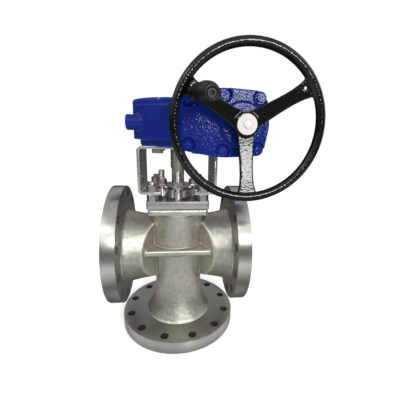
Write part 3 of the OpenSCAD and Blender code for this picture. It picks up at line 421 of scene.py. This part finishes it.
def turned_rings_group():
    """Fine tool lines round a turned piece, about the axis left out of Across."""
    group, given, out = new_group(
        "turned_rings", {"Across": (1.0, 1.0, 0.0), "Along": (0.0, 0.0, 1.0), "Centre": (0.0, 0.0, 0.0),
                         "Lines": 900.0}, "Height", "Tone")
    coords = object_coords(group)

    def vector(operation, *values):
        made = group.nodes.new("ShaderNodeVectorMath")
        made.operation = operation
        return fill(group, made, dict(enumerate(values))).outputs

    place = vector("SUBTRACT", coords, given["Centre"])["Vector"]
    radius = vector("LENGTH", vector("MULTIPLY", place, given["Across"])["Vector"])["Value"]
    depth = vector("DOT_PRODUCT", place, given["Along"])["Value"]
    lines = group.nodes.new("ShaderNodeTexNoise")
    lines.noise_dimensions = "1D"
    fill(group, lines, {"Scale": 1.0, "Detail": 2.0, "W": math_node(
        group, "MULTIPLY", math_node(group, "ADD", radius, depth), given["Lines"])})
    fill(group, out, {"Height": lines.outputs["Fac"], "Tone": noise(group, coords, 14.0, 5.0, 0.6)})
    return group


def ramp(tree, fac, stops):
    """Colour read from (place, tone) stops."""
    made = put(tree, "ShaderNodeValToRGB", Fac=fac)
    bar = made.color_ramp.elements
    for i, (place, tone) in enumerate(stops):
        spot = bar[i] if i < len(bar) else bar.new(place)
        spot.position = place
        spot.color = (*tone, 1.0)
    return made.outputs["Color"]


def bumped(tree, height, strength, distance):
    return put(tree, "ShaderNodeBump", Height=height, Strength=strength, Distance=distance).outputs["Normal"]


def shade(tone, factor):
    return tuple(min(1.0, c * factor) for c in tone)


def varied(tree, fac, low, high, tone, vary):
    """Tone that is darker at a low value and lighter at a high one."""
    return ramp(tree, fac, [(low, shade(tone, 1 - vary)), (high, shade(tone, 1 + vary))])


def tinted(tree, fac, under, over):
    """Colour under a mask and a plain colour over it."""
    made = tree.nodes.new("ShaderNodeMix")
    made.data_type = "RGBA"
    return fill(tree, made, {"Factor": fac, 6: under, 7: (*over, 1.0)}).outputs[2]


def grained(name, groups, tone, metallic, rough, grain, lumps, share, strength, depth,
            vary=0.12, edge=1.0, reach=0.05, gloss=0.5, pits=1.0):
    """Finish over rough metal or paint: grain, lumps, slow changes of tone, worn edges with a painted highlight,
    creases in painted shade.
    """
    _, tree, shader = sheet(name)
    cast = put_group(tree, groups["cast_grain"], **{
        "Grain": grain, "Lumps": lumps, "Grain share": pits, "Lump share": share})
    wear_highlight_and_shade = put_group(tree, groups["edge_wear"], Reach=reach)
    clouds = varied(tree, cast["Tone"], 0.35, 0.65, tone, vary)
    # Proud edges brighten: partly wear, partly a painted highlight.
    worn_highlit_edges = tinted(tree, wear_highlight_and_shade["Edge"], clouds, shade(tone, edge))
    # Creases darken to the crease tone: painted shade.
    fill(tree, shader, {
        "Base Color": tinted(tree, wear_highlight_and_shade["Crease"], worn_highlit_edges, shade(tone, PAINTED_CREASE_SHADE)),
        "Roughness": spread(tree, cast["Tone"], rough * 0.85, rough * 1.15),
        "Normal": bumped(tree, cast["Height"], strength, depth),
        "Metallic": metallic, "Specular IOR Level": gloss})


def turned(name, groups, tone, rough, axis, centre, lines=900.0, brushed=True):
    """Machined metal with tool lines round an axis; where brushed, its highlights run across the lines."""
    _, tree, shader = sheet(name)
    along = tuple(float(letter == axis) for letter in "XYZ")
    rings = put_group(tree, groups["turned_rings"], Across=tuple(1.0 - a for a in along), Along=along,
                      Centre=centre, Lines=lines)
    fill(tree, shader, {
        "Base Color": varied(tree, rings["Tone"], 0.3, 0.7, tone, TURNED_VARY),
        "Roughness": spread(tree, rings["Height"], rough * 0.8, rough * 1.2),
        "Normal": bumped(tree, rings["Height"], **TOOL_LINES),
        "Metallic": 1.0})
    if brushed:
        lay = tree.nodes.new("ShaderNodeTangent")
        lay.direction_type = "RADIAL"
        lay.axis = axis
        fill(tree, shader, {"Tangent": lay.outputs["Tangent"], **BRUSHED})


def finishes():
    """Builds every material once and returns them by name."""
    if "cast_steel" not in bpy.data.materials:
        tone = bpy.context.scene.valve_colours
        run = (0.0, 0.0, bpy.context.scene.valve_sizes.run_height)
        upright = (0.0, 0.0, 0.0)
        groups = {"cast_grain": cast_grain_group(), "edge_wear": edge_wear_highlight_crease_shade_group(),
                  "turned_rings": turned_rings_group()}
        for name, (base, factor, surface) in SURFACES.items():
            grained(name, groups, shade(getattr(tone, base), factor), **surface)
        turned("rim_side", groups, tone.turned_steel, 0.32, "X", run)
        turned("rim_bottom", groups, tone.turned_steel, 0.32, "Z", upright)
        turned("bolt_steel", groups, tone.bolt_steel, 0.28, "Z", upright, lines=700.0, brushed=False)
    return {m.name: m for m in bpy.data.materials}


def dress(material, *nodes):
    """Gives carried-over CAD nodes a finish."""
    for node in nodes:
        mesh = NODES[node].data
        mesh.materials.clear()
        mesh.materials.append(material)


# Geometry Nodes helpers

def geometry_tree(name, inputs):
    """Tree with inputs by label, kind and default, the keys of these, and their sockets."""
    tree = bpy.data.node_groups.new(name, "GeometryNodeTree")
    keys = {}
    for label, kind, default in inputs:
        made = tree.interface.new_socket(label, in_out="INPUT", socket_type="NodeSocket" + kind)
        if default is not None:
            made.default_value = default
        keys[label] = made.identifier
    tree.interface.new_socket("Geometry", in_out="OUTPUT", socket_type="NodeSocketGeometry")
    return tree, keys, tree.nodes.new("NodeGroupInput").outputs


def run_tree(name, tree, keys, values):
    """Runs a tree on an empty mesh with the given inputs and keeps its result as a plain mesh."""
    obj = link_object(name, bpy.data.meshes.new(name))
    work = obj.modifiers.new("make", "NODES")
    work.node_group = tree
    for label, value in values.items():
        work[keys[label]] = value
    return settle(obj)


def on_ring(tree, shape, count, radius, lift, turn):
    """Copies of a shape on the points of a circle about Z, lifted and turned."""
    ring = put(tree, "GeometryNodeMeshCircle", Vertices=count, Radius=radius)
    move = put(tree, "ShaderNodeCombineXYZ", Z=lift)
    swing = put(tree, "ShaderNodeCombineXYZ", Z=turn)
    points = put(tree, "GeometryNodeTransform", Geometry=ring.outputs["Mesh"], Translation=move.outputs[0],
                 Rotation=swing.outputs[0])
    copies = put(tree, "GeometryNodeInstanceOnPoints", Points=points.outputs["Geometry"], Instance=shape)
    return put(tree, "GeometryNodeRealizeInstances", Geometry=copies.outputs["Instances"]).outputs["Geometry"]


def give_out(tree, geometry, finish):
    paint = put(tree, "GeometryNodeSetMaterial", Geometry=geometry, Material=finish)
    put(tree, "NodeGroupOutput", Geometry=paint.outputs["Geometry"])


def thread_tree():
    """Threaded studs: a bar whose skin rises and falls along a helix, set on the points of a circle."""
    tree, keys, given = geometry_tree("threaded_studs", [
        ("Radius", "Float", 0.01), ("Length", "Float", 0.1), ("Pitch", "Float", 0.0025),
        ("Depth", "Float", 0.0011), ("Circle", "Float", 0.05), ("Start", "Float", 0.0),
        ("Base", "Float", 0.0), ("Finish", "Material", None)])

    def calc(operation, a, b):
        return math_node(tree, operation, a, b)

    steps = calc("MULTIPLY", calc("DIVIDE", given["Length"], given["Pitch"]), STEPS_PER_PITCH)
    bar = put(tree, "GeometryNodeMeshCylinder", **{
        "Vertices": STUD_STEPS, "Side Segments": steps, "Radius": given["Radius"], "Depth": given["Length"]})
    where = tree.nodes.new("GeometryNodeInputPosition").outputs[0]
    place = put(tree, "ShaderNodeSeparateXYZ", Vector=where).outputs
    turn = calc("DIVIDE", calc("ARCTAN2", place["Y"], place["X"]), 2 * math.pi)
    climb = calc("DIVIDE", place["Z"], given["Pitch"])
    wave = calc("PINGPONG", calc("ADD", climb, turn), 0.5)
    fall = calc("DIVIDE", calc("MULTIPLY", wave, given["Depth"]), given["Radius"])
    keep = calc("SUBTRACT", 1.0, calc("MULTIPLY", fall, 2.0))
    shape = put(tree, "ShaderNodeCombineXYZ", X=calc("MULTIPLY", place["X"], keep),
                Y=calc("MULTIPLY", place["Y"], keep), Z=place["Z"])
    thread = put(tree, "GeometryNodeSetPosition", Geometry=bar.outputs["Mesh"], Position=shape.outputs[0])
    middle = calc("ADD", given["Base"], calc("DIVIDE", given["Length"], 2.0))
    studs = on_ring(tree, thread.outputs["Geometry"], STUD_COUNT, given["Circle"], middle, given["Start"])
    give_out(tree, studs, given["Finish"])
    return tree, keys


def drilled_flange_tree():
    """Pipe flange: a turned blank with bolt holes cut on its circle."""
    tree, keys, given = geometry_tree("drilled_flange", [
        ("Blank", "Object", None), ("Circle", "Float", 0.165), ("Hole", "Float", 0.0127), ("Count", "Int", 12),
        ("Depth", "Float", 0.05), ("Finish", "Material", None)])
    blank = put(tree, "GeometryNodeObjectInfo", Object=given["Blank"])
    drill = put(tree, "GeometryNodeMeshCylinder", Vertices=HOLE_STEPS, Radius=given["Hole"], Depth=given["Depth"])
    half_step = math_node(tree, "DIVIDE", math.pi, given["Count"])
    drills = on_ring(tree, drill.outputs["Mesh"], given["Count"], given["Circle"], 0.0, half_step)
    cut = tree.nodes.new("GeometryNodeMeshBoolean")
    cut.operation = "DIFFERENCE"
    cut.solver = "EXACT"
    fill(tree, cut, {"Mesh 1": blank.outputs["Geometry"], "Mesh 2": drills})
    give_out(tree, cut.outputs["Mesh"], given["Finish"])
    return tree, keys


# Pieces

def flange_blank(name, inner_back):
    """Turned blank of a pipe flange, standing on its sealing face at z = 0."""
    s = bpy.context.scene.valve_sizes
    rim, back, face, step = s.flange_radius, s.flange_depth, s.face_radius, s.face_height
    soft, dip = RIM_ROUND, ROUND_DIP * RIM_ROUND
    return lathe(name, [
        (s.bore_radius, 0.0), (face - FACE_ROUND, 0.0), (face, FACE_ROUND), (face, step),
        (rim - soft, step), (rim - dip, step + dip), (rim, step + soft), (rim, back - soft),
        (rim - dip, back - dip), (rim - soft, back), (BACK_RING, back), (inner_back, back)], RIM_STEPS)


def flange_places(s):
    """Where each flange stands, with its bore at the back, the foot of its neck and its finishes."""
    half = s.face_to_face / 2
    places = []
    for side, way in (("right", 1), ("left", -1)):
        place = Matrix.Translation((way * half, 0, s.run_height)) @ Matrix.Rotation(-way * math.pi / 2, 4, "Y")
        places.append({"side": side, "place": place, "bore": s.side_bore, "foot": s.side_neck,
                       "rim": "rim_side", "back": "flange_back"})
    # The bottom flange's upward back takes the lighter copy of the flange back, painted light.
    places.append({"side": "bottom", "place": Matrix.Identity(4), "bore": s.bottom_bore, "foot": s.bottom_neck,
                   "rim": "rim_bottom", "back": "flange_top"})
    return places


class VALVE_OT_flanges(bpy.types.Operator):
    """Drilled pipe flanges with turned rims and rough backs"""
    bl_idname = "valve.flanges"
    bl_label = "Pipe flanges"

    def execute(self, context):
        s, looks = context.scene.valve_sizes, finishes()
        tree, keys = drilled_flange_tree()
        for flange in flange_places(s):
            name = "drilled_flange_" + flange["side"]
            rim = looks[flange["rim"]]
            blank = link_object(name + "_blank", flange_blank(name + "_blank", flange["bore"]))
            obj = run_tree(name, tree, keys, {
                "Blank": blank, "Circle": s.bolt_circle, "Hole": s.bolt_hole, "Count": s.bolt_count,
                "Depth": 4 * s.flange_depth, "Finish": rim})
            bpy.data.objects.remove(blank)
            finish_piece(obj, rim, "valve_body", "cast_stainless", "flange_" + flange["side"])
            # Back faces: on the bottom flange, facing up, a lighter copy of the flange back, painted light.
            obj.data.materials.append(looks[flange["back"]])
            # Bolt hole walls take a darker copy of the flange back, painted shade.
            obj.data.materials.append(looks["hole_wall"])
            for face in obj.data.polygons:
                off = abs(math.hypot(face.center.x, face.center.y) - s.bolt_circle)
                if abs(face.normal.z) < 0.5 and off < 1.1 * s.bolt_hole:
                    face.material_index = 2
                elif face.normal.z > 0.9 and face.center.z > 0.9 * s.flange_depth:
                    face.material_index = 1
            obj.data.transform(flange["place"])
            obj.data.set_sharp_from_angle(angle=math.radians(FLANGE_SHARP))
        return {"FINISHED"}


class VALVE_OT_casting(bpy.types.Operator):
    """Body casting and its necks as one skin, with softened ribs and pockets"""
    bl_idname = "valve.casting"
    bl_label = "Body casting"

    def execute(self, context):
        s, looks = context.scene.valve_sizes, finishes()
        nodes = ("body_casting", "neck_left", "neck_right", "neck_bottom")
        bm = joined(nodes)
        low, high = s.flange_depth - s.neck_root, s.flange_depth + ROOT_LAP
        for flange in flange_places(s):
            inner, foot = flange["bore"] + ROOT_GAP, flange["foot"]
            root = lathe("neck_root", [(inner, low), (foot, low), (foot, high), (inner, high)], ROOT_STEPS)
            root.transform(flange["place"])
            take_in(bm, root)
        obj = cast_skin("cast_body", mesh_from("cast_body", bm), s.casting_grid, 3)
        finish_piece(obj, looks["cast_steel"], "valve_body", "cast_stainless", *nodes)
        return {"FINISHED"}


class VALVE_OT_cover(bpy.types.Operator):
    """Top cover, gasket and gland"""
    bl_idname = "valve.cover"
    bl_label = "Cover and gland"

    def execute(self, context):
        looks = finishes()
        for node, width in (("top_cover", COVER_EDGE), ("gland_follower", GLAND_EDGE)):
            obj = bevelled(node + "_soft", merged_copy(node), width)
            finish_piece(obj, looks["machined_steel"], "valve_body", "machined_stainless", node)
        dress(looks["gasket_dark"], "cover_gasket", "stem_packing")
        dress(looks["liner_white"], "plug_liner", "thrust_washer")
        return {"FINISHED"}


class VALVE_OT_studs(bpy.types.Operator):
    """Threaded studs with their nuts"""
    bl_idname = "valve.studs"
    bl_label = "Studs and nuts"

    def execute(self, context):
        s, looks = context.scene.valve_sizes, finishes()
        tree, keys = thread_tree()
        for node, start in (("cover_studs", math.pi / 4), ("gland_studs", 0.0)):
            low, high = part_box(node)
            reach = high.x - s.stud_radius
            obj = run_tree(node + "_threaded", tree, keys, {
                "Radius": s.stud_radius, "Length": high.z - low.z, "Pitch": s.thread_pitch,
                "Depth": THREAD_SHARE * s.thread_pitch, "Circle": reach / math.cos(start), "Start": start,
                "Base": low.z, "Finish": looks["bolt_steel"]})
            obj.data.set_sharp_from_angle(angle=math.radians(STUD_SHARP))
            finish_piece(obj, looks["bolt_steel"], "valve_body", "fastener_stainless", node)
        dress(looks["bolt_steel"], "cover_nuts", "gland_nuts", "bracket_nuts", "gearbox_bolts")
        return {"FINISHED"}


class VALVE_OT_bracket(bpy.types.Operator):
    """Bent bracket between the valve and its gearbox, with its lengths as one plate"""
    bl_idname = "valve.bracket"
    bl_label = "Bracket"

    def execute(self, context):
        nodes = ("bracket_head", "bracket_leg_left", "bracket_leg_right", "bracket_foot_left",
                 "bracket_foot_right")
        seams = [corner.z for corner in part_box("bracket_leg_left")]
        bm = joined(nodes)
        inner = [face for face in bm.faces
                 if any(all(abs(v.co.z - z) < SAME_SEAM for v in face.verts) for z in seams)]
        bmesh.ops.delete(bm, geom=inner, context="FACES")
        bmesh.ops.remove_doubles(bm, verts=bm.verts, dist=SAME_SEAM)
        obj = bevelled("bracket_plate", mesh_from("bracket_plate", bm), PLATE_EDGE, 50.0)
        finish_piece(obj, finishes()["plate_steel"], "valve_body", "machined_stainless", *nodes)
        return {"FINISHED"}


class VALVE_OT_gearbox(bpy.types.Operator):
    """Painted gearbox castings"""
    bl_idname = "valve.gearbox"
    bl_label = "Gearbox"

    def execute(self, context):
        grid, looks = context.scene.valve_sizes.gearbox_grid, finishes()
        for node, share, rounds in (("gearbox_housing", 1.0, 5), ("gearbox_lid", 0.75, 4),
                                    ("gear_case_cover", 0.75, 4), ("worm_end_cap", 0.75, 3)):
            obj = cast_skin(node + "_cast", merged_copy(node), share * grid, rounds)
            finish_piece(obj, looks["blue_enamel"], "valve_body", "blue_paint", node)
        dress(looks["blue_enamel"], "case_cover_bolts", "end_cap_screws")
        dress(looks["oxide_steel"], "lid_screws", "stop_screws")
        dress(looks["yellow_enamel"], "position_indicator")
        return {"FINISHED"}


class VALVE_OT_works(bpy.types.Operator):
    """Plug, coupling, gears and shafts"""
    bl_idname = "valve.works"
    bl_label = "Inner works"

    def execute(self, context):
        looks = finishes()
        dress(looks["bolt_steel"], "plug", "stem_coupling")
        dress(looks["cast_bronze"], "worm_wheel", "lower_bush", "upper_bush")
        dress(looks["oxide_steel"], "stem_key", "hub_key", "handwheel_key", "worm_bearings", "input_bearings",
              "worm_shaft", "worm", "spur_gear", "spur_pinion", "input_shaft")
        return {"FINISHED"}


class VALVE_OT_handwheel(bpy.types.Operator):
    """Cast handwheel with its hub washer and screw"""
    bl_idname = "valve.handwheel"
    bl_label = "Handwheel"

    def execute(self, context):
        grid, looks = context.scene.valve_sizes.wheel_grid, finishes()
        obj = cast_skin("handwheel_cast", merged_copy("handwheel"), grid, 6)
        finish_piece(obj, looks["black_enamel"], "handwheel_train", "black_paint", "handwheel")
        dress(looks["silver_washer"], "hub_washer")
        dress(looks["oxide_steel"], "hub_screw")
        return {"FINISHED"}


class VALVE_OT_grip(bpy.types.Operator):
    """Spinner grip on its pin"""
    bl_idname = "valve.grip"
    bl_label = "Spinner grip"

    def execute(self, context):
        grid, looks = context.scene.valve_sizes.grip_grid, finishes()
        obj = cast_skin("spinner_grip_soft", merged_copy("spinner_grip"), grid, 5)
        finish_piece(obj, looks["grip_black"], "grip", "black_grip", "spinner_grip")
        dress(looks["black_oxide"], "grip_pin")
        return {"FINISHED"}


class VALVE_OT_stage(bpy.types.Operator):
    """Pale floor, graded room, soft lights and the camera"""
    bl_idname = "valve.stage"
    bl_label = "Stage"

    def execute(self, context):
        scene = context.scene
        scene.view_settings.view_transform = "Standard"
        self.floor()
        self.world(scene)
        self.lights()
        self.camera(scene)
        return {"FINISHED"}

    def floor(self):
        """Floor that is white to the camera and unseen in reflections."""
        bm = bmesh.new()
        bmesh.ops.create_grid(bm, x_segments=1, y_segments=1, size=FLOOR_REACH)
        obj = link_object("floor", mesh_from("floor", bm))
        obj.visible_glossy = False
        material, tree, shader = sheet("pale_floor")
        seen = tree.nodes.new("ShaderNodeLightPath").outputs["Is Camera Ray"]
        fill(tree, shader, {
            "Base Color": (0.96, 0.96, 0.96, 1.0), "Roughness": 1.0, "Specular IOR Level": 0.0,
            "Emission Color": (1.0, 1.0, 1.0, 1.0),
            "Emission Strength": math_node(tree, "MULTIPLY", seen, FLOOR_GLOW)})
        obj.data.materials.append(material)

    def world(self, scene):
        """White to the camera, even for diffuse light, and a graded room in reflections."""
        world = bpy.data.worlds.new("studio")
        scene.world = world
        world.use_nodes = True
        world.cycles.sampling_method = "NONE"
        tree = world.node_tree
        tree.nodes.clear()
        path = tree.nodes.new("ShaderNodeLightPath").outputs
        seen = math_node(tree, "ADD", path["Is Camera Ray"], path["Is Transmission Ray"])
        coords = tree.nodes.new("ShaderNodeTexCoord").outputs["Generated"]
        way = put(tree, "ShaderNodeSeparateXYZ", Vector=coords).outputs
        height = math_node(tree, "MULTIPLY", math_node(tree, "ADD", way["Z"], 1.0), 0.5)
        room = ramp(tree, height, [(place / 2 + 0.5, (tone,) * 3) for place, tone in ROOM])
        behind = map_range(tree, way["Y"], 0.0, BEHIND_FROM, 1.0, BEHIND_TONE)
        graded = math_node(tree, "MULTIPLY", room, behind)
        lit = choose(tree, path["Is Glossy Ray"], DIFFUSE_TONE, graded)
        strength = choose(tree, math_node(tree, "MINIMUM", seen, 1.0), lit, 1.0)
        back = put(tree, "ShaderNodeBackground", Color=(1.0, 1.0, 1.0, 1.0), Strength=strength)
        put(tree, "ShaderNodeOutputWorld", Surface=back.outputs[0])

    def lights(self):
        for name, place, aim, width, height, power in LAMPS:
            lamp = bpy.data.lights.new(name, "AREA")
            lamp.shape = "RECTANGLE"
            lamp.size = width
            lamp.size_y = height
            lamp.energy = power
            obj = link_object(name, lamp)
            obj.location = place
            obj.rotation_euler = (Vector(aim) - Vector(place)).to_track_quat("-Z", "Y").to_euler()

    def camera(self, scene):
        yaw, pitch, roll = (math.radians(a) for a in VIEW_TURN)
        ahead = Vector((math.sin(yaw) * math.cos(pitch), math.cos(yaw) * math.cos(pitch), -math.sin(pitch)))
        right = Vector((math.cos(yaw), -math.sin(yaw), 0.0))
        up = right.cross(ahead)
        side = right * math.cos(roll) + up * math.sin(roll)
        top = up * math.cos(roll) - right * math.sin(roll)
        lens = bpy.data.cameras.new("view")
        for name, value in VIEW_LENS.items():
            setattr(lens, name, value)
        pose = Matrix((side, top, -ahead)).transposed().to_4x4()
        pose.translation = VIEW_PLACE
        obj = link_object("view", lens)
        obj.matrix_world = pose
        scene.camera = obj


PIECES = (VALVE_OT_flanges, VALVE_OT_casting, VALVE_OT_cover, VALVE_OT_studs, VALVE_OT_bracket,
          VALVE_OT_gearbox, VALVE_OT_works, VALVE_OT_handwheel, VALVE_OT_grip, VALVE_OT_stage)


class VALVE_PT_panel(bpy.types.Panel):
    """Lists the valve's pieces"""
    bl_idname = "VALVE_PT_panel"
    bl_label = "Plug valve"
    bl_space_type = "VIEW_3D"
    bl_region_type = "UI"
    bl_category = "Valve"

    def draw(self, context):
        for piece in PIECES:
            self.layout.operator(piece.bl_idname)
        for group in (context.scene.valve_sizes, context.scene.valve_colours):
            box = self.layout.box()
            for name in group.__annotations__:
                box.prop(group, name)


CLASSES = (ValveSizes, ValveColours) + PIECES + (VALVE_PT_panel,)


def register():
    for cls in CLASSES:
        bpy.utils.register_class(cls)
    bpy.types.Scene.valve_sizes = PointerProperty(type=ValveSizes)
    bpy.types.Scene.valve_colours = PointerProperty(type=ValveColours)


def unregister():
    del bpy.types.Scene.valve_colours
    del bpy.types.Scene.valve_sizes
    for cls in reversed(CLASSES):
        bpy.utils.unregister_class(cls)


def main():
    register()
    for piece in PIECES:
        area, action = piece.bl_idname.split(".")
        getattr(getattr(bpy.ops, area), action)()


if __name__ == "__main__":
    main()
